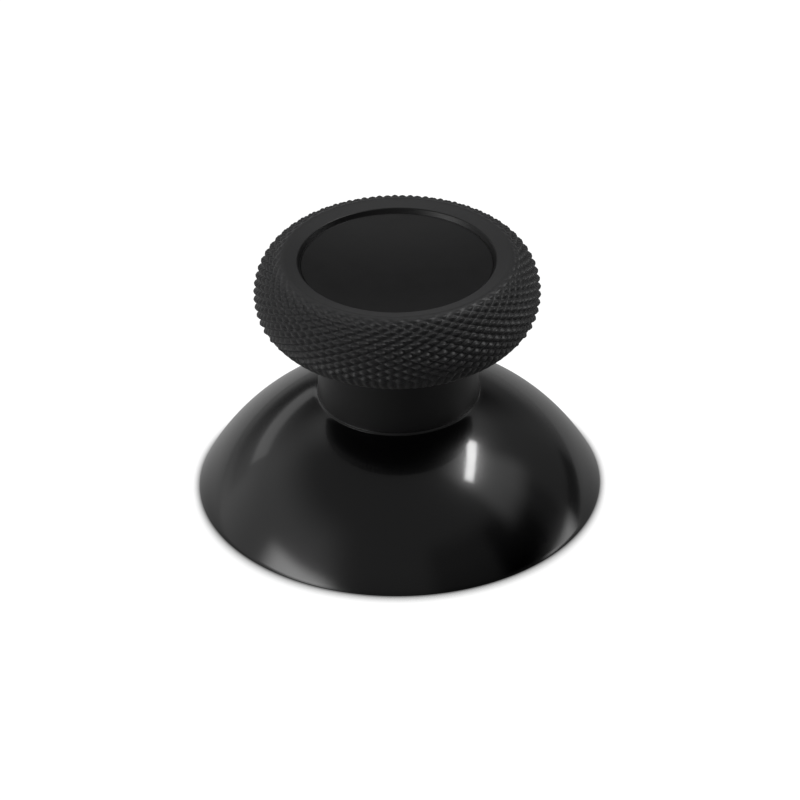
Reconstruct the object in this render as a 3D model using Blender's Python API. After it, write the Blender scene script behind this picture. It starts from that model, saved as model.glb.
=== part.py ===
"""Thumbstick cap for a game controller: one plastic moulding, a thin dome under a knurled round head.

Lengths are in metres. The axis is +Z through the origin, and the rim of the dome stands on z = 0.
"""
import math

import bmesh
import bpy

MM = 0.001

# Dome: a spherical skirt of even wall that hides the opening in the controller's shell.
DOME_RADIUS = 14.24 * MM
DOME_CENTRE_Z = -6.555 * MM
DOME_WALL = 1.2 * MM
RIM_ROUND = 0.06 * MM

# Neck between dome and head, with the small collar that it stands on.
NECK_RADIUS = 5.0 * MM
NECK_FOOT_Z = 6.93 * MM
NECK_TOP_FILLET = 0.5 * MM
COLLAR_RADIUS = 5.07 * MM
COLLAR_EDGE = 0.03 * MM

# Head: a ring of elliptical section with a flat band on top.
HEAD_SECTION_R = 6.883 * MM
HEAD_SECTION_Z = 14.06 * MM
HEAD_HALF_WIDTH = 1.917 * MM
HEAD_HALF_HEIGHT = 2.472 * MM
BAND_EDGE_DEG = 88.6

# Dish for the thumb, inside the band: a steep wall with a small groove at its foot.
LIP_RADIUS = 6.14 * MM
LIP_Z = 16.35 * MM
LIP_ROUND = 0.08 * MM
WALL_FOOT_RADIUS = 5.95 * MM
WALL_FOOT_Z = 15.99 * MM
DISH_RADIUS = 5.86 * MM
DISH_EDGE_Z = 16.06 * MM
DISH_DEPTH = 0.5 * MM

# Knurl: rows of four-sided points, each row half a point round from the next. The points are low
# at the crest of the head, and the rows are wider apart below its widest place.
KNURL_POINTS = 50
KNURL_ROWS = 22
KNURL_START_DEG = 85.1
KNURL_ROW_STEP = 0.26 * MM
KNURL_STRETCH = 0.85
KNURL_DEPTH = 0.24 * MM
KNURL_PROUD = 0.05 * MM
KNURL_FADE_ROWS = 3
KNURL_TURN_DEG = 0.5

# Post with the blind socket that grips the joystick shaft, a rod with two flats.
POST_RADIUS = 3.3 * MM
POST_END_Z = 4.5 * MM
POST_CHAMFER = 0.2 * MM
POST_FILLET = 0.5 * MM
SHAFT_DIAMETER = 4.0 * MM
SHAFT_FLATS = 3.0 * MM
SOCKET_CLEARANCE = 0.05 * MM
SOCKET_DEPTH = 6.5 * MM
SOCKET_LEAD_IN = 0.3 * MM

COLUMNS = 2 * KNURL_POINTS
HALF_COLUMNS = KNURL_POINTS
SOCKET_STEPS = 12


def clear_scene():
    """Removes every object that the scene starts with."""
    for obj in list(bpy.data.objects):
        bpy.data.objects.remove(obj, do_unlink=True)


def material(name, colour, roughness):
    """Principled plastic with one colour and one roughness."""
    mat = bpy.data.materials.new(name)
    mat.use_nodes = True
    shader = mat.node_tree.nodes["Principled BSDF"]
    shader.inputs["Base Color"].default_value = (*colour, 1.0)
    shader.inputs["Roughness"].default_value = roughness
    shader.inputs["IOR"].default_value = 1.5
    return mat


def ellipse_point(degrees):
    """Point (r, z) on the head's section; 0 is outermost, 90 the crest."""
    angle = math.radians(degrees)
    r = HEAD_SECTION_R + HEAD_HALF_WIDTH * math.cos(angle)
    z = HEAD_SECTION_Z + HEAD_HALF_HEIGHT * math.sin(angle)
    return r, z


def ellipse_normal(degrees):
    """Outward unit normal (r, z) of the head's section."""
    angle = math.radians(degrees)
    nr = math.cos(angle) / HEAD_HALF_WIDTH
    nz = math.sin(angle) / HEAD_HALF_HEIGHT
    size = math.hypot(nr, nz)
    return nr / size, nz / size


def row_step_degrees(degrees):
    """Section angle from one row of the knurl to the next, as it is at this section angle."""
    angle = math.radians(degrees)
    speed = math.hypot(HEAD_HALF_WIDTH * math.sin(angle), HEAD_HALF_HEIGHT * math.cos(angle))
    stretch = 1.0 + KNURL_STRETCH * min(0.0, math.sin(angle)) ** 2
    return math.degrees(KNURL_ROW_STEP * stretch / speed)


def knurl_angles():
    """Section angles of the knurl's rows, each step taken at its middle."""
    angles = [KNURL_START_DEG]
    for _ in range(KNURL_ROWS):
        middle = angles[-1] - 0.5 * row_step_degrees(angles[-1])
        angles.append(angles[-1] - row_step_degrees(middle))
    return angles


def arc(centre_r, centre_z, radius, start_deg, end_deg, steps):
    """Points (r, z) on a circular arc, both ends included."""
    points = []
    for step in range(steps + 1):
        angle = math.radians(start_deg + (end_deg - start_deg) * step / steps)
        points.append((centre_r + radius * math.cos(angle), centre_z + radius * math.sin(angle)))
    return points


def sphere_height(radius, r):
    """Height at which a sphere about the dome's centre has the radius r."""
    return DOME_CENTRE_Z + math.sqrt(radius * radius - r * r)


def sphere_points(radius, start_deg, end_deg, steps):
    """Points (r, z) on a sphere about the dome's centre; degrees are from the axis."""
    return arc(0.0, DOME_CENTRE_Z, radius, 90.0 - start_deg, 90.0 - end_deg, steps)


def dish_profile():
    """Shallow dish from its centre out to the groove, its wall and lip, and the flat band."""
    points = []
    for share in (0.0, 0.35, 0.62, 0.83, 1.0):
        depth = DISH_DEPTH * (1.0 - share * share)
        points.append((DISH_RADIUS * share, DISH_EDGE_Z - depth))
    points.append((WALL_FOOT_RADIUS, WALL_FOOT_Z))
    points.append((LIP_RADIUS - LIP_ROUND, LIP_Z - LIP_ROUND))
    points.append((LIP_RADIUS, LIP_Z))
    points.append(ellipse_point(BAND_EDGE_DEG))
    return points


def underside_profile(last_knurl_deg):
    """Plain lower part of the head, flat inward to the fillet at the top of the neck."""
    points = [ellipse_point(0.5 * (last_knurl_deg - 90.0)), ellipse_point(-90.0)]
    base_z = HEAD_SECTION_Z - HEAD_HALF_HEIGHT
    centre_r = NECK_RADIUS + NECK_TOP_FILLET
    points += arc(centre_r, base_z - NECK_TOP_FILLET, NECK_TOP_FILLET, 90.0, 180.0, 3)
    return points


def collar_profile():
    """Foot of the neck and the narrow top of the collar, with its eased edge."""
    return [
        (NECK_RADIUS, NECK_FOOT_Z),
        (COLLAR_RADIUS - COLLAR_EDGE, NECK_FOOT_Z),
        (COLLAR_RADIUS, NECK_FOOT_Z - COLLAR_EDGE),
    ]


def dome_profile():
    """Outer face of the dome from the foot of the collar, and the rounded edge of its rim."""
    start = math.degrees(math.asin(COLLAR_RADIUS / DOME_RADIUS))
    edge = math.acos((RIM_ROUND - DOME_CENTRE_Z) / (DOME_RADIUS - RIM_ROUND))
    points = sphere_points(DOME_RADIUS, start, math.degrees(edge), 11)
    centre_r = (DOME_RADIUS - RIM_ROUND) * math.sin(edge)
    points += arc(centre_r, RIM_ROUND, RIM_ROUND, 90.0 - math.degrees(edge), -90.0, 3)[1:]
    return points


def inside_profile():
    """Hollow of the dome, from the rim's inner edge up to the post and down to its end."""
    radius = DOME_RADIUS - DOME_WALL
    rim_deg = math.degrees(math.acos(-DOME_CENTRE_Z / radius))
    fillet_r = POST_RADIUS + POST_FILLET
    fillet_z = sphere_height(radius - POST_FILLET, fillet_r)
    top_deg = math.degrees(math.atan2(fillet_r, fillet_z - DOME_CENTRE_Z))
    points = sphere_points(radius, rim_deg, top_deg, 9)
    points += arc(fillet_r, fillet_z, POST_FILLET, 90.0 - top_deg, 180.0, 3)[1:]
    points.append((POST_RADIUS, POST_END_Z + POST_CHAMFER))
    points.append((POST_RADIUS - POST_CHAMFER, POST_END_Z))
    points.append((0.0, POST_END_Z))
    return points


def add_ring(bm, point, columns):
    """Ring of vertices at one (r, z), or one vertex where r is zero."""
    if point[0] == 0.0:
        return [bm.verts.new((0.0, 0.0, point[1]))]
    return [bm.verts.new(place(point, column, columns)) for column in range(columns)]


def place(point, column, columns):
    """Position of one column of a ring."""
    angle = math.radians(KNURL_TURN_DEG) + 2.0 * math.pi * column / columns
    return point[0] * math.cos(angle), point[0] * math.sin(angle), point[1]


def add_knurl_ring(bm, degrees, row):
    """Ring whose vertices stand alternately proud of the section and below it."""
    r, z = ellipse_point(degrees)
    nr, nz = ellipse_normal(degrees)
    fade = min(1.0, row / KNURL_FADE_ROWS)
    steps = (fade * KNURL_PROUD, fade * (KNURL_PROUD - KNURL_DEPTH))
    ring = []
    for column in range(COLUMNS):
        step = steps[(row + column) % 2]
        ring.append(bm.verts.new(place((r + step * nr, z + step * nz), column, COLUMNS)))
    return ring


def bridge(bm, upper, lower, slot):
    """Faces between two rings of equal count, of double count, or between a ring and a pole."""
    count = max(len(upper), len(lower))
    corners = []
    for i in range(count):
        j = (i + 1) % count
        if len(upper) == len(lower):
            corners.append((upper[i], lower[i], lower[j], upper[j]))
        elif len(upper) == 1:
            corners.append((upper[0], lower[i], lower[j]))
        elif len(lower) == 1:
            corners.append((upper[i], lower[0], upper[j]))
        elif len(lower) > len(upper):
            corners += widening(upper, lower, i, False)
        else:
            corners += widening(lower, upper, i, True)
    for face in corners:
        bm.faces.new(face).material_index = slot


def widening(sparse, dense, i, flip):
    """Triangles at one column of the denser ring, where the other has half the columns."""
    j = (i + 1) % len(dense)
    near = sparse[(i // 2 + i % 2) % len(sparse)]
    faces = [(near, dense[i], dense[j])]
    if i % 2 == 1:
        faces.append((sparse[i // 2], dense[i], near))
    if flip:
        faces = [tuple(reversed(face)) for face in faces]
    return faces


def bridge_knurl(bm, upper, lower, row):
    """Faces between two knurl rows, split along the grooves so that every point has four flanks."""
    for i in range(COLUMNS):
        j = (i + 1) % COLUMNS
        if (row + i) % 2 == 0:
            faces = [(upper[i], lower[i], upper[j]), (lower[i], lower[j], upper[j])]
        else:
            faces = [(upper[i], lower[i], lower[j]), (upper[i], lower[j], upper[j])]
        for face in faces:
            bm.faces.new(face).material_index = 0


def add_run(bm, previous, points, columns, slot):
    """Adds one ring for each point, each bridged to the ring before; returns the last ring."""
    for point in points:
        ring = add_ring(bm, point, columns)
        if previous:
            bridge(bm, previous, ring, slot)
        previous = ring
    return previous


def add_knurl(bm, previous):
    """Adds the knurl below the flat band; its first and last rows lie on the plain section."""
    angles = knurl_angles()
    ring = add_ring(bm, ellipse_point(angles[0]), COLUMNS)
    bridge(bm, previous, ring, 0)
    for row in range(1, KNURL_ROWS):
        below = add_knurl_ring(bm, angles[row], row)
        bridge_knurl(bm, ring, below, row - 1)
        ring = below
    below = add_ring(bm, ellipse_point(angles[-1]), COLUMNS)
    bridge_knurl(bm, ring, below, KNURL_ROWS - 1)
    return below, angles[-1]


def cap_body():
    """The whole cap as one closed body, before its socket is cut."""
    bm = bmesh.new()
    ring = add_run(bm, None, dish_profile(), HALF_COLUMNS, 0)
    ring, last_deg = add_knurl(bm, ring)
    ring = add_run(bm, ring, underside_profile(last_deg), HALF_COLUMNS, 0)
    ring = add_run(bm, ring, collar_profile(), HALF_COLUMNS, 0)
    ring = add_run(bm, ring, dome_profile(), COLUMNS, 1)
    add_run(bm, ring, inside_profile(), HALF_COLUMNS, 1)
    bmesh.ops.recalc_face_normals(bm, faces=bm.faces)
    mesh = bpy.data.meshes.new("thumbstick_cap")
    bm.to_mesh(mesh)
    bm.free()
    return mesh


def socket_outline(grow):
    """Corners of the socket's outline: two flats joined by two arcs of the shaft's circle."""
    radius = 0.5 * SHAFT_DIAMETER + SOCKET_CLEARANCE + grow
    flat = 0.5 * SHAFT_FLATS + SOCKET_CLEARANCE + grow
    corner = math.asin(flat / radius)
    points = []
    for side in (0.0, math.pi):
        for step in range(SOCKET_STEPS + 1):
            angle = side - corner + 2.0 * corner * step / SOCKET_STEPS
            points.append((radius * math.cos(angle), radius * math.sin(angle)))
    return points


def socket_cutter():
    """Prism with the socket's outline, widened at the mouth so that the shaft finds its way in."""
    levels = (
        (SOCKET_LEAD_IN * 2.0, POST_END_Z - SOCKET_LEAD_IN),
        (0.0, POST_END_Z + SOCKET_LEAD_IN),
        (0.0, POST_END_Z + SOCKET_DEPTH),
    )
    bm = bmesh.new()
    rings = [[bm.verts.new((x, y, z)) for x, y in socket_outline(grow)] for grow, z in levels]
    for lower, upper in zip(rings, rings[1:]):
        bridge(bm, upper, lower, 1)
    bm.faces.new(rings[0]).material_index = 1
    bm.faces.new(rings[-1]).material_index = 1
    bmesh.ops.recalc_face_normals(bm, faces=bm.faces)
    mesh = bpy.data.meshes.new("socket_cutter")
    bm.to_mesh(mesh)
    bm.free()
    cutter = bpy.data.objects.new("socket_cutter", mesh)
    cutter.hide_render = True
    cutter.display_type = "WIRE"
    bpy.context.collection.objects.link(cutter)
    return cutter


def shade_smooth(mesh):
    """Smooth shading, with edges that turn by more than 30 degrees kept sharp."""
    mesh.shade_smooth()
    mesh.set_sharp_from_angle(angle=math.radians(30.0))


def build():
    """Builds the cap as one named object with its two surface finishes."""
    clear_scene()
    mesh = cap_body()
    mesh.materials.append(material("matte_black_plastic", (0.025, 0.025, 0.026), 0.55))
    mesh.materials.append(material("polished_black_plastic", (0.008, 0.008, 0.009), 0.12))
    shade_smooth(mesh)
    cap = bpy.data.objects.new("thumbstick_cap", mesh)
    bpy.context.collection.objects.link(cap)
    cutter = socket_cutter()
    for mat in mesh.materials:
        cutter.data.materials.append(mat)
    socket = cap.modifiers.new("socket", "BOOLEAN")
    socket.operation = "DIFFERENCE"
    socket.solver = "EXACT"
    socket.object = cutter


build()
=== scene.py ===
"""Dresses the thumbstick cap: one closed moulded surface with its knurl, the four finishes of its black
plastic, a white floor and soft studio light, seen from the angle of the photograph."""
import math

import bpy
import numpy as np
from mathutils import Matrix, Vector


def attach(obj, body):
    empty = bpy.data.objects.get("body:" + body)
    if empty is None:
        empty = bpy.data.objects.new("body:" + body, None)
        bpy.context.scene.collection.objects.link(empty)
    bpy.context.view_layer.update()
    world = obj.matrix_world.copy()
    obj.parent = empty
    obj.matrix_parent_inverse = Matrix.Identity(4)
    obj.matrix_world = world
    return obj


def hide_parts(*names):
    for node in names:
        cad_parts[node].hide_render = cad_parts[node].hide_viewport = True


MM = 0.001

# Sizes of the cap in millimetres, the same as in the solid. Heights are from the plane of the rim.
DOME_RADIUS = 14.24
DOME_CENTRE_Z = -6.555
DOME_WALL = 1.2
RIM_ROUND = 0.06
NECK_RADIUS = 5.0
NECK_FOOT_Z = 6.93
NECK_TOP_FILLET = 0.5
COLLAR_RADIUS = 5.07
COLLAR_EDGE = 0.03
HEAD_R = 6.883
HEAD_Z = 14.06
HEAD_HALF_WIDTH = 1.917
HEAD_HALF_HEIGHT = 2.472
BAND_EDGE_DEG = 88.6
WALL_FOOT = (5.95, 15.99)
DISH_RADIUS = 5.86
DISH_EDGE_Z = 16.06
DISH_DEPTH = 0.5
KNURL_POINTS = 50
KNURL_ROWS = 22
KNURL_START_DEG = 85.1
KNURL_ROW_STEP = 0.26
KNURL_STRETCH = 0.85
KNURL_DEPTH = 0.24
KNURL_PROUD = 0.05
KNURL_FADE_ROWS = 3.0
KNURL_TURN_DEG = 0.5
POST_RADIUS = 3.3
POST_END_Z = 4.5
POST_FILLET = 0.5
SOCKET_RADIUS = 2.05
SOCKET_FLAT = 1.55
SOCKET_DEPTH = 6.5
SOCKET_LEAD_IN = 0.3

# Forms finer than the solid's faces: the corner of the band's lip as (radius, height), the knurl's row below
# which its grooves run upright, and small radii in millimetres.
LIP_CORNER = (6.088, 16.338)
KNURL_LAST_ROW = 17.5
LIP_ROUND = 0.1
WALL_FOOT_ROUND = 0.03
DISH_EDGE_ROUND = 0.05
COLLAR_FOOT_ROUND = 0.03
RIM_INNER_ROUND = 0.06
POST_EDGE_ROUND = 0.2
SOCKET_MOUTH_ROUND = 0.08
SOCKET_INNER_ROUND = 0.1

# Plain rings of the post's end outside the socket's outline, and of the socket's floor inside it.
POST_END_RING = 0.9
SOCKET_MOUTH_RING = 0.3
SOCKET_FLOOR_RING = 0.6

# Vertices round the knurl; the other parts of the surface have a half or a quarter as many.
COLUMNS = 10 * KNURL_POINTS
ROWS_PER_STEP = 5

# The finishes, in the order of the mesh's material slots.
MATTE, KNURLED, POLISHED, SATIN = range(4)

# The camera, as fitted to the photograph: millimetres, degrees and pixels of an 800 pixel frame.
FRAME_PX = 800.0
SENSOR_MM = 36.0
CAMERA_DISTANCE = 300.0
CAMERA_ELEVATION = 32.92
CAMERA_ROLL = 0.766
FOCAL_PX = 4830.6
TARGET_Z = 7.92
TARGET_PX = (-1.68, 25.15)

# Floor, in metres: its half width, its drop below the rim, and the reach of the painted shadow beside the
# cap and in front of it. The paper's colour and the glows, where white is 1.
FLOOR_HALF = 2.5
FLOOR_DROP = 0.00002
SHADOW_REACH = (0.0005, 0.0009)
SHADOW_DARKEST = 0.20
PAPER = "#707070"
CAMERA_GLOW = 1.0
MIRROR_GLOW = 0.22
LEFT_GLOW = 0.10

# The dim studio: its radiance at the horizon and overhead, where white is 1.
STUDIO_LOW = 0.11
STUDIO_HIGH = 0.20

# Patches of the studio: (azimuth, elevation), half sizes and fade in degrees, and the radiance that each one
# adds. Azimuth 0 is right and 90 is behind. A negative radiance is a darker place.
SURROUNDINGS = (
    ((185.0, 18.0), (28.0, 12.0), (30.0, 24.0), 0.36),
    ((129.0, 21.0), (16.0, 3.0), (1.5, 2.0), 0.64),
    ((129.0, 11.0), (18.0, 3.0), (5.0, 4.0), -0.12),
    ((222.0, 8.0), (8.0, 4.0), (16.0, 12.0), 0.60),
    ((212.0, 14.0), (11.0, 3.0), (15.0, 7.0), 3.3),
    ((6.0, 2.0), (6.0, 2.0), (12.0, 5.0), 2.3),
    ((110.0, 8.0), (40.0, 6.0), (30.0, 14.0), 0.14),
    ((90.0, 62.0), (30.0, 8.0), (40.0, 22.0), 0.50),
    ((4.0, 50.0), (12.0, 12.0), (14.0, 12.0), 0.55),
    ((90.0, 26.0), (25.0, 12.0), (20.0, 12.0), -0.17),
    ((325.0, 18.0), (30.0, 18.0), (14.0, 12.0), -0.09),
    ((352.0, 24.0), (20.0, 10.0), (10.0, 10.0), -0.09),
    ((33.0, 4.0), (9.0, 2.0), (6.0, 3.0), -0.11),
)

# The lamp: its direction and roll in degrees, its distance and sizes in metres, and its radiance.
STRIP = {"azimuth": 11.5, "elevation": 56.9, "roll": -8.0, "distance": 0.40,
         "width": 0.165, "height": 0.030, "radiance": 15.0}


def linear(hex_colour):
    """Linear RGB of an sRGB hex colour."""
    srgb = np.array([int(hex_colour[i:i + 2], 16) for i in (1, 3, 5)]) / 255.0
    low = srgb / 12.92
    high = ((srgb + 0.055) / 1.055) ** 2.4
    return tuple(np.where(srgb <= 0.04045, low, high).tolist())


def rounded(corners, radii, steps=5):
    """A polyline of (r, z) corners whose inner corners are arcs that touch both of their sides.

    An arc of radius q in a corner of half angle a starts q / tan(a) before it and ends as far after."""
    corners = np.asarray(corners, dtype=float)
    parts = [corners[:1]]
    for before, corner, after, radius in zip(corners, corners[1:], corners[2:], radii):
        back = (before - corner) / np.linalg.norm(before - corner)
        ahead = (after - corner) / np.linalg.norm(after - corner)
        half = 0.5 * math.acos(float(np.clip(back @ ahead, -1.0, 1.0)))
        middle = (back + ahead) / np.linalg.norm(back + ahead)
        centre = corner + middle * radius / math.sin(half)
        start = corner + back * radius / math.tan(half) - centre
        end = corner + ahead * radius / math.tan(half) - centre
        share = np.linspace(0.0, 1.0, steps)[:, None]
        turn = math.pi - 2.0 * half
        arc = (start * np.sin((1.0 - share) * turn) + end * np.sin(share * turn)) / math.sin(turn)
        parts.append(centre + arc)
    parts.append(corners[-1:])
    return np.concatenate(parts)


def head_section(degrees):
    """Points (r, z) of the head's elliptical section; 0 degrees is outermost and 90 is the crest."""
    angle = np.radians(degrees)
    r = HEAD_R + HEAD_HALF_WIDTH * np.cos(angle)
    z = HEAD_Z + HEAD_HALF_HEIGHT * np.sin(angle)
    return np.stack([r, z], axis=-1)


def head_normal(degrees):
    """Outward unit normals (r, z) of the head's section."""
    angle = np.radians(degrees)
    normal = np.stack([np.cos(angle) / HEAD_HALF_WIDTH, np.sin(angle) / HEAD_HALF_HEIGHT], axis=-1)
    return normal / np.linalg.norm(normal, axis=-1, keepdims=True)


def angle_at_row(row):
    """Section angles in degrees of the knurl's rows.

    A row is KNURL_ROW_STEP long on the section. Below the widest place it is 1 + stretch * sin(angle)^2
    times as long."""
    degrees = np.linspace(KNURL_START_DEG, KNURL_START_DEG - 175.0, 3501)
    length = np.linalg.norm(np.diff(head_section(degrees), axis=0), axis=1)
    below = np.minimum(np.sin(np.radians(0.5 * (degrees[1:] + degrees[:-1]))), 0.0)
    steps = length / (KNURL_ROW_STEP * (1.0 + KNURL_STRETCH * below ** 2))
    return np.interp(row, np.concatenate([[0.0], np.cumsum(steps)]), degrees)


def sphere_arc(radius, start_deg, end_deg, steps):
    """Points (r, z) on a sphere about the dome's centre, by degrees from the axis."""
    angle = np.radians(np.linspace(start_deg, end_deg, steps))
    return np.stack([radius * np.sin(angle), DOME_CENTRE_Z + radius * np.cos(angle)], axis=-1)


def degrees_at(radius, r):
    """Degrees from the axis at which a sphere about the dome's centre has the radius r."""
    return math.degrees(math.asin(r / radius))


def rim_degrees(radius):
    """Degrees from the axis at which a sphere about the dome's centre meets the plane of the rim."""
    return math.degrees(math.acos(-DOME_CENTRE_Z / radius))


def dish_rows():
    """Thumb dish, the groove round it and its steep wall, then the flat band out to the knurl.

    At the share s of its radius the dish lies DISH_DEPTH * (1 - s^2) below its edge."""
    share = np.linspace(0.0, 0.98, 14)
    bowl = np.stack([DISH_RADIUS * share, DISH_EDGE_Z - DISH_DEPTH * (1.0 - share ** 2)], axis=-1)
    edge = head_section(BAND_EDGE_DEG)
    corners = [bowl[-1], (DISH_RADIUS, DISH_EDGE_Z), WALL_FOOT, LIP_CORNER, edge]
    wall = rounded(corners, (DISH_EDGE_ROUND, WALL_FOOT_ROUND, LIP_ROUND), 6)
    band = np.linspace(wall[-2], edge, 7)[1:]
    outside = head_section(np.array([BAND_EDGE_DEG - 1.2]))
    return np.concatenate([bowl[:-1], wall[:-1]]), np.concatenate([band, outside])


def under_rows():
    """Plain underside of the head with the fillet under it, and the straight neck down to its foot."""
    curve = head_section(np.linspace(angle_at_row(KNURL_ROWS) - 2.0, -88.0, 5))
    base_z = HEAD_Z - HEAD_HALF_HEIGHT
    corners = [curve[-1], (NECK_RADIUS, base_z), (NECK_RADIUS, NECK_FOOT_Z)]
    neck = rounded(corners, (NECK_TOP_FILLET,), 7)
    side = np.linspace(neck[-2], (NECK_RADIUS, NECK_FOOT_Z + 0.02), 8)
    return np.concatenate([curve[:-1], neck[:-1]]), np.concatenate([side, neck[-1:]])


def collar_rows():
    """The collar's narrow flat top at the foot of the neck, and its low upright side down to the dome."""
    start = degrees_at(DOME_RADIUS, COLLAR_RADIUS)
    base = sphere_arc(DOME_RADIUS, start, start + 1.0, 2)
    corners = [(NECK_RADIUS, NECK_FOOT_Z), (COLLAR_RADIUS, NECK_FOOT_Z), base[0], base[1]]
    return rounded(corners, (COLLAR_EDGE, COLLAR_FOOT_ROUND), 5)


def dome_rows():
    """Outer face of the dome, its rounded rim and the flat that the cap stands on."""
    inside_radius = DOME_RADIUS - DOME_WALL
    start = degrees_at(DOME_RADIUS, COLLAR_RADIUS) + 2.0
    rim_deg = rim_degrees(DOME_RADIUS)
    inner_deg = rim_degrees(inside_radius)
    outer = sphere_arc(DOME_RADIUS, start, rim_deg - 2.4, 34)
    end = sphere_arc(DOME_RADIUS, rim_deg - 1.4, rim_deg - 0.5, 2)
    inner = sphere_arc(inside_radius, inner_deg, inner_deg - 3.0, 2)
    rim_edge = np.array([math.sqrt(DOME_RADIUS ** 2 - DOME_CENTRE_Z ** 2), 0.0])
    rim = rounded([end[0], rim_edge, inner[0], inner[1]], (RIM_ROUND, RIM_INNER_ROUND), 6)
    return np.concatenate([outer, rim])


def inside_rows():
    """Hollow of the dome, the post in it and the post's end."""
    radius = DOME_RADIUS - DOME_WALL
    post_deg = degrees_at(radius, POST_RADIUS)
    hollow = sphere_arc(radius, rim_degrees(radius) - 5.0, post_deg + 5.0, 20)
    top = sphere_arc(radius, post_deg, post_deg, 1)
    corners = [hollow[-1], top[0], (POST_RADIUS, POST_END_Z), (SOCKET_RADIUS + POST_END_RING, POST_END_Z)]
    post = rounded(corners, (POST_FILLET, POST_EDGE_ROUND), 6)
    return np.concatenate([hollow[:-1], post])


def socket_rows():
    """Rows of the socket as (outward growth of its outline, z), from the mouth to the floor."""
    floor_z = POST_END_Z + SOCKET_DEPTH
    corners = [(SOCKET_LEAD_IN + SOCKET_MOUTH_RING, POST_END_Z), (SOCKET_LEAD_IN, POST_END_Z),
               (0.0, POST_END_Z + SOCKET_LEAD_IN), (0.0, floor_z), (-SOCKET_FLOOR_RING, floor_z)]
    return rounded(corners, (SOCKET_MOUTH_ROUND, SOCKET_INNER_ROUND, SOCKET_INNER_ROUND), 4)


def column_angles(columns):
    """Angles of the columns, turned so that the knurl's points stand where the photograph has them."""
    return math.radians(KNURL_TURN_DEG) + 2.0 * math.pi * np.arange(columns) / columns


def around_axis(r, z, columns):
    """Points (r cos a, r sin a, z) for the columns' angles a; r and z have a row for each ring."""
    angle = column_angles(columns)
    x = r * np.cos(angle)
    y = r * np.sin(angle)
    return np.stack([x, y, np.broadcast_to(z, x.shape)], axis=-1)


def turned(rows, columns):
    """Grid of the (r, z) rows turned about the axis."""
    return around_axis(rows[:, :1], rows[:, 1:], columns)


def knurl_height(row, turn):
    """Height of the knurl from 0 in a groove to 1 on a point.

    Two families of grooves cross, one rising and one falling round the head. With u = turn + row / 2 and
    v = turn - row / 2 the height is |cos(pi u) cos(pi v)|: eased points between sharp grooves.
    Below KNURL_LAST_ROW the row stands still, so that the grooves run out as upright bars."""
    held = np.minimum(row, KNURL_LAST_ROW)
    return np.abs(np.cos(math.pi * (turn + 0.5 * held)) * np.cos(math.pi * (turn - 0.5 * held)))


def knurl_grid():
    """The knurled part of the head: its section moved along its own normal n by the knurl's height h.

    A point is section + fade * (proud - depth * (1 - h)) * n, where fade is 0 at the first and last row."""
    row = np.linspace(0.0, KNURL_ROWS, KNURL_ROWS * ROWS_PER_STEP + 1)
    degrees = angle_at_row(row)
    section = head_section(degrees)[:, None, :]
    normal = head_normal(degrees)[:, None, :]
    turn = np.arange(COLUMNS)[None, :] * KNURL_POINTS / COLUMNS
    height = knurl_height(row[:, None], turn)
    fade = np.clip(np.minimum(row / KNURL_FADE_ROWS, 0.5 * (KNURL_ROWS - row)), 0.0, 1.0)[:, None]
    lift = fade * (KNURL_PROUD - KNURL_DEPTH * (1.0 - height))
    points = section + lift[..., None] * normal
    return around_axis(points[..., 0], points[..., 1], COLUMNS)


def socket_grid(columns):
    """The blind socket: each row is the two-flat outline grown by the row's first value.

    At the angle a the outline's radius is min(radius, flat / |sin a|), so the flats face +Y and -Y."""
    rows = socket_rows()
    grow = rows[:, :1]
    slant = np.maximum(np.abs(np.sin(column_angles(columns))), 1e-6)
    r = np.minimum(SOCKET_RADIUS + grow, (SOCKET_FLAT + grow) / slant)
    return around_axis(r, rows[:, 1:], columns)


def ring_faces(first, rows, columns):
    """Quads between neighbouring rings of one grid, closed round the axis."""
    i = np.arange(rows - 1)[:, None] * columns
    j = np.arange(columns)[None, :]
    k = (j + 1) % columns
    quads = np.stack([i + j, i + columns + j, i + columns + k, i + k], axis=-1)
    return (first + quads).reshape(-1, 4).tolist()


def seam_faces(upper, lower):
    """Faces between two rings that have the same count, or of which one has twice the other's count."""
    count = max(len(upper), len(lower))
    i = np.arange(count)
    j = (i + 1) % count
    if len(upper) == len(lower):
        return np.stack([upper[i], lower[i], lower[j], upper[j]], axis=-1).tolist()
    dense, sparse = (upper, lower) if len(upper) > len(lower) else (lower, upper)
    k = np.arange(len(sparse))
    n = (k + 1) % len(sparse)
    left = np.stack([sparse[k], dense[2 * k], dense[2 * k + 1]], axis=-1)
    middle = np.stack([sparse[k], dense[2 * k + 1], sparse[n]], axis=-1)
    right = np.stack([sparse[n], dense[2 * k + 1], dense[2 * n]], axis=-1)
    faces = np.concatenate([left, middle, right])
    if len(upper) > len(lower):
        faces = faces[:, ::-1]
    return faces.tolist()


def pole_faces(ring, pole, above):
    """Triangles that close a ring with one vertex on the axis."""
    after = np.roll(ring, -1)
    tip = np.full(len(ring), pole)
    order = [tip, ring, after] if above else [ring, tip, after]
    return np.stack(order, axis=-1).tolist()


def cap_grids():
    """The grids of the surface with their finishes, from the dish down to the floor of the socket."""
    dish, band = dish_rows()
    under, neck = under_rows()
    half, quarter = COLUMNS // 2, COLUMNS // 4
    return [
        (turned(dish[1:], half), MATTE),
        (turned(band, half), KNURLED),
        (knurl_grid(), KNURLED),
        (turned(under, half), MATTE),
        (turned(neck[1:], half), SATIN),
        (turned(collar_rows()[1:], half), POLISHED),
        (turned(dome_rows(), half), POLISHED),
        (turned(inside_rows(), quarter), POLISHED),
        (socket_grid(quarter), POLISHED),
    ]


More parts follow.
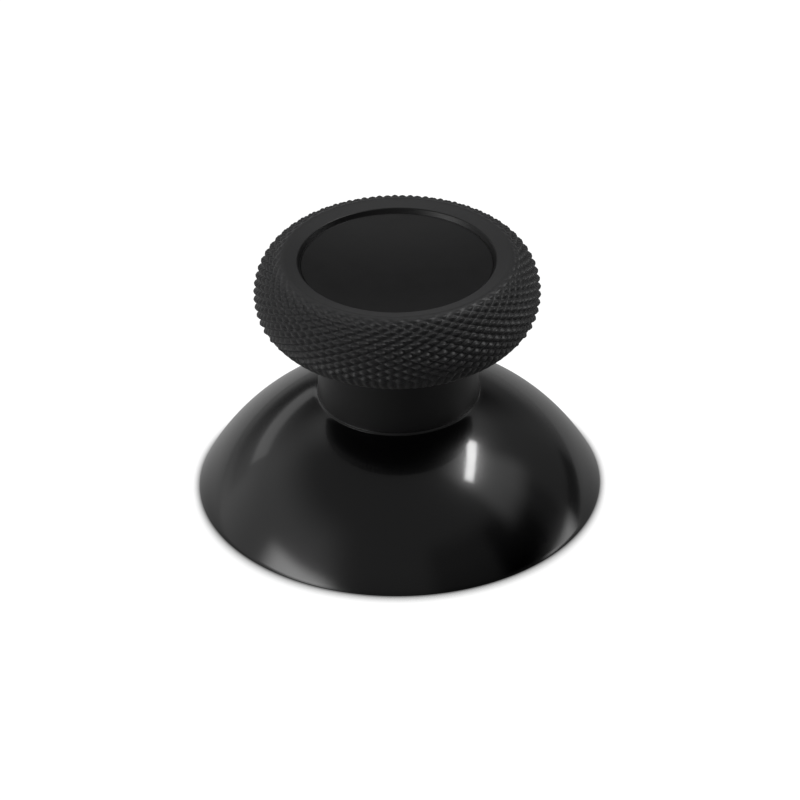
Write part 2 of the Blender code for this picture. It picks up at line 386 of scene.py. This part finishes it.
def cap_mesh():
    """One closed surface: the grids, the seams between them and a fan about the axis at either end."""
    grids = cap_grids()
    points = [grid.reshape(-1, 3) for grid, _ in grids]
    starts = np.cumsum([0] + [len(p) for p in points])
    tips = np.array([[0.0, 0.0, DISH_EDGE_Z - DISH_DEPTH], [0.0, 0.0, POST_END_Z + SOCKET_DEPTH]])
    vertices = np.concatenate(points + [tips]) * MM
    faces, slots, last = [], [], None
    for (grid, finish), first in zip(grids, starts):
        rows, columns = grid.shape[:2]
        top = first + np.arange(columns)
        strip = pole_faces(top, starts[-1], True) if last is None else seam_faces(last, top)
        strip += ring_faces(first, rows, columns)
        faces += strip
        slots += [finish] * len(strip)
        last = first + (rows - 1) * columns + np.arange(columns)
    closing = pole_faces(last, starts[-1] + 1, False)
    faces += closing
    slots += [POLISHED] * len(closing)
    mesh = bpy.data.meshes.new("moulded_cap")
    mesh.from_pydata(vertices, [], faces)
    mesh.polygons.foreach_set("material_index", np.array(slots, dtype=np.int32))
    mesh.polygons.foreach_set("use_smooth", np.ones(len(faces), dtype=bool))
    mesh.update()
    return mesh


def add_node(tree, kind, settings=None, links=None):
    """Adds one shader node, sets its properties and sockets, and links its inputs."""
    node = tree.nodes.new(kind)
    for name, value in (settings or {}).items():
        if isinstance(name, str) and hasattr(node, name):
            setattr(node, name, value)
        else:
            node.inputs[name].default_value = value
    for name, source in (links or {}).items():
        tree.links.new(source, node.inputs[name])
    return node


def combine(tree, operation, first, second):
    """Result of one sum, product or the like of two sockets."""
    return add_node(tree, "ShaderNodeMath", {"operation": operation}, {0: first, 1: second}).outputs[0]


def ramp(tree, value, source, target, kind="LINEAR"):
    """Maps a socket's value from the source range to the target range, and holds it beyond the ends."""
    settings = {"interpolation_type": kind, "From Min": source[0], "From Max": source[1],
                "To Min": target[0], "To Max": target[1]}
    return add_node(tree, "ShaderNodeMapRange", settings, {"Value": value}).outputs["Result"]


def noise(tree, scale, detail):
    """Smooth noise over the piece's own coordinates; its features are about 1 / scale metres across."""
    place = add_node(tree, "ShaderNodeTexCoord").outputs["Object"]
    node = add_node(tree, "ShaderNodeTexNoise", {"Scale": scale, "Detail": detail}, {"Vector": place})
    return node.outputs["Fac"]


def new_material(name):
    """A material whose node tree holds only its output; returns it with the tree and the output."""
    mat = bpy.data.materials.new(name)
    mat.use_nodes = True
    tree = mat.node_tree
    tree.nodes.clear()
    output = tree.nodes.new("ShaderNodeOutputMaterial")
    return mat, tree, output


def polished_plastic():
    """Black ABS from a polished mould: a clear mirror image with a soft haze round everything bright.

    The clear part is the resin-rich skin, and the haze comes from the pigment just under it. The skin sinks
    by a micron or so over a few millimetres, which bends the reflections a little."""
    mat, tree, output = new_material("polished_abs_moulded")
    rough = ramp(tree, noise(tree, 900.0, 3.0), (0.3, 0.7), (0.07, 0.11))
    bump = add_node(tree, "ShaderNodeBump", {"Strength": 1.0, "Distance": 0.000004},
                    {"Height": noise(tree, 260.0, 1.0)})
    skin = add_node(tree, "ShaderNodeBsdfPrincipled",
                    {"Base Color": (*linear("#070708"), 1.0), "Roughness": 0.24, "IOR": 1.38,
                     "Coat Weight": 0.8, "Coat IOR": 1.5},
                    {"Coat Roughness": rough, "Normal": bump.outputs["Normal"],
                     "Coat Normal": bump.outputs["Normal"]})
    tree.links.new(skin.outputs["BSDF"], output.inputs["Surface"])
    return mat


def matte_plastic(name, colour, roughness, sheen):
    """Black ABS from a spark-eroded mould: a fine even grain that scatters the light.

    The grain is about 0.05 mm across, drawn at 0.09 mm so that it shows. The sheen is the pale bloom that
    handling leaves on the knurl, seen where the surface turns away."""
    mat, tree, output = new_material(name)
    rough = ramp(tree, noise(tree, 700.0, 2.0), (0.3, 0.7), (roughness - 0.03, roughness + 0.03))
    bump = add_node(tree, "ShaderNodeBump", {"Strength": 0.5, "Distance": 0.00001},
                    {"Height": noise(tree, 11000.0, 2.0)})
    skin = add_node(tree, "ShaderNodeBsdfPrincipled",
                    {"Base Color": (*linear(colour), 1.0), "IOR": 1.5, "Sheen Weight": sheen},
                    {"Roughness": rough, "Normal": bump.outputs["Normal"]})
    tree.links.new(skin.outputs["BSDF"], output.inputs["Surface"])
    return mat


def floor_material():
    """White studio paper: pure white to the camera, with a soft grey shadow close round the rim, painted
    into the glow, with a faint real shadow on the paper under it.

    The camera's white is a glow that dims where the cap stands over the paper. Reflections see the lit
    paper, with a fainter glow behind the cap and on its left, as the plastic shows it in the photograph."""
    mat, tree, output = new_material("white_studio_paper")
    place = add_node(tree, "ShaderNodeTexCoord").outputs["Object"]
    axes = add_node(tree, "ShaderNodeSeparateXYZ", {}, {0: place}).outputs
    ray = add_node(tree, "ShaderNodeLightPath").outputs
    reach = ramp(tree, axes["Y"], (-0.002, -0.010), SHADOW_REACH)
    cover = add_node(tree, "ShaderNodeAmbientOcclusion", {"samples": 16}, {"Distance": reach}).outputs["AO"]
    # Painted shadow: the camera's glow is dimmed where the occlusion near the cap is high; the lit paper
    # keeps only its own fainter real shadow.
    shade = ramp(tree, cover, (0.70, 1.0), (SHADOW_DARKEST, CAMERA_GLOW))
    direct = combine(tree, "MAXIMUM", ray["Is Camera Ray"], ray["Is Transmission Ray"])
    # Painted light that only reflections see: a glow on the paper behind the cap and on its left.
    behind = ramp(tree, axes["Y"], (-0.03, 0.01), (0.0, MIRROR_GLOW))
    left = ramp(tree, axes["X"], (0.005, -0.015), (0.0, LEFT_GLOW))
    seen = combine(tree, "MULTIPLY", direct, shade)
    mirrored = combine(tree, "MULTIPLY", ray["Is Glossy Ray"], combine(tree, "ADD", behind, left))
    glow = add_node(tree, "ShaderNodeEmission", {}, {"Strength": combine(tree, "ADD", seen, mirrored)})
    paper = add_node(tree, "ShaderNodeBsdfDiffuse", {"Color": (*linear(PAPER), 1.0)})
    both = add_node(tree, "ShaderNodeAddShader", {}, {0: paper.outputs[0], 1: glow.outputs[0]})
    tree.links.new(both.outputs[0], output.inputs["Surface"])
    return mat


def add_floor():
    """A wide flat sheet of paper under the rim."""
    corners = [(x * FLOOR_HALF, y * FLOOR_HALF, 0.0) for x, y in ((-1, -1), (1, -1), (1, 1), (-1, 1))]
    mesh = bpy.data.meshes.new("floor")
    mesh.from_pydata(corners, [], [(0, 1, 2, 3)])
    floor = bpy.data.objects.new("floor", mesh)
    bpy.context.collection.objects.link(floor)
    floor.location.z = -FLOOR_DROP
    mesh.materials.append(floor_material())


def soft_patch(tree, direction, elevation, centre, half, soft, radiance):
    """One patch of the studio: full inside its half width and height in degrees, then fading out.

    The turn from the patch's centre is atan2(d . side, d . front) of the direction d."""
    azimuth = math.radians(centre[0])
    axes = ((-math.sin(azimuth), math.cos(azimuth), 0.0), (math.cos(azimuth), math.sin(azimuth), 0.0))
    side, front = [add_node(tree, "ShaderNodeVectorMath", {"operation": "DOT_PRODUCT", 1: axis},
                            {0: direction}).outputs["Value"] for axis in axes]
    turn = combine(tree, "ARCTAN2", side, front)
    rise = add_node(tree, "ShaderNodeMath", {"operation": "SUBTRACT", 1: math.radians(centre[1])},
                    {0: elevation}).outputs[0]
    shares = []
    for offset, inner, fade in zip((turn, rise), half, soft):
        size = add_node(tree, "ShaderNodeMath", {"operation": "ABSOLUTE"}, {0: offset}).outputs[0]
        span = (math.radians(inner), math.radians(inner + fade))
        shares.append(ramp(tree, size, span, (1.0, 0.0), "SMOOTHSTEP"))
    both = combine(tree, "MULTIPLY", *shares)
    return add_node(tree, "ShaderNodeMath", {"operation": "MULTIPLY", 1: radiance}, {0: both}).outputs[0]


def add_world():
    """Dim studio with the pale and dark patches that the dome reflects in the photograph."""
    world = bpy.data.worlds.new("studio")
    bpy.context.scene.world = world
    world.use_nodes = True
    tree = world.node_tree
    tree.nodes.clear()
    output = tree.nodes.new("ShaderNodeOutputWorld")
    direction = add_node(tree, "ShaderNodeTexCoord").outputs["Generated"]
    height = add_node(tree, "ShaderNodeSeparateXYZ", {}, {0: direction}).outputs["Z"]
    elevation = add_node(tree, "ShaderNodeMath", {"operation": "ARCSINE"}, {0: height}).outputs[0]
    total = ramp(tree, height, (0.0, 0.5), (STUDIO_LOW, STUDIO_HIGH))
    for patch in SURROUNDINGS:
        total = combine(tree, "ADD", total, soft_patch(tree, direction, elevation, *patch))
    light = add_node(tree, "ShaderNodeBackground", {"Color": (1.0, 1.0, 1.0, 1.0)}, {"Strength": total})
    tree.links.new(light.outputs[0], output.inputs["Surface"])


def soft_box(name, azimuth, elevation, roll, distance, width, height, radiance):
    """A rectangular lamp that faces the cap: direction and roll in degrees, distance and sizes in metres."""
    lamp = bpy.data.lights.new(name, "AREA")
    lamp.shape = "RECTANGLE"
    lamp.size = width
    lamp.size_y = height
    lamp.energy = 4.0 * radiance * width * height
    az, el = math.radians(azimuth), math.radians(elevation)
    away = Vector((math.cos(el) * math.cos(az), math.cos(el) * math.sin(az), math.sin(el)))
    level = Vector((-math.sin(az), math.cos(az), 0.0))
    side = level * math.cos(math.radians(roll)) + away.cross(level) * math.sin(math.radians(roll))
    rise = away.cross(side)
    turn = Matrix((side, rise, away)).transposed().to_4x4()
    obj = bpy.data.objects.new(name, lamp)
    bpy.context.collection.objects.link(obj)
    obj.matrix_world = Matrix.Translation(away * distance + Vector((0.0, 0.0, TARGET_Z * MM))) @ turn
    obj.visible_camera = False


def add_camera():
    """Camera at the photograph's angle, aimed so that the cap lies where the photograph has it."""
    elevation = math.radians(CAMERA_ELEVATION)
    roll = math.radians(CAMERA_ROLL)
    target = Vector((0.0, 0.0, TARGET_Z * MM))
    ahead = Vector((0.0, math.cos(elevation), -math.sin(elevation)))
    up = Vector((0.0, math.sin(elevation), math.cos(elevation)))
    right = Vector((1.0, 0.0, 0.0))
    rolled_right = right * math.cos(roll) - up * math.sin(roll)
    rolled_up = up * math.cos(roll) + right * math.sin(roll)
    aim = ahead - rolled_right * (TARGET_PX[0] / FOCAL_PX) - rolled_up * (TARGET_PX[1] / FOCAL_PX)
    aim.normalize()
    x_axis = aim.cross(rolled_up).normalized()
    y_axis = x_axis.cross(aim)
    data = bpy.data.cameras.new("camera")
    data.sensor_width = SENSOR_MM
    data.lens = FOCAL_PX / FRAME_PX * SENSOR_MM
    data.clip_start = 0.01
    camera = bpy.data.objects.new("camera", data)
    bpy.context.collection.objects.link(camera)
    turn = Matrix((x_axis, y_axis, -aim)).transposed().to_4x4()
    camera.matrix_world = Matrix.Translation(target - ahead * CAMERA_DISTANCE * MM) @ turn
    bpy.context.scene.camera = camera


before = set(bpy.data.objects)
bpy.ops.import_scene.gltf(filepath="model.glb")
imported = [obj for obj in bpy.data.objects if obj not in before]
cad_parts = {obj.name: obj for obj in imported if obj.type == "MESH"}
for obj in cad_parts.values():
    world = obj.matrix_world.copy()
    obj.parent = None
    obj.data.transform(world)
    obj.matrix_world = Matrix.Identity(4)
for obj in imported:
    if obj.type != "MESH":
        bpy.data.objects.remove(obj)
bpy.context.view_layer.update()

cap = bpy.data.objects.new("moulded_cap", cap_mesh())
bpy.context.collection.objects.link(cap)
cap.data.materials.append(matte_plastic("matte_abs_spark_eroded", "#0B0B0C", 0.42, 0.0))
# The knurl and the flat band share a copy of the black plastic painted lighter, #2A2A2B beside #0B0B0C:
# painted light that stands in for the light they catch.
cap.data.materials.append(matte_plastic("matte_abs_knurled_painted_lighter", "#2A2A2B", 0.42, 0.12))
cap.data.materials.append(polished_plastic())
cap.data.materials.append(matte_plastic("satin_abs_neck", "#0A0A0B", 0.40, 0.0))
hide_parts("thumbstick_cap")
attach(cap, "root")

add_floor()
add_world()
# A high narrow strip on the right, whose mirror image is the bright streak beside the neck.
soft_box("strip_right", **STRIP)
add_camera()
bpy.context.scene.view_settings.view_transform = "Standard"
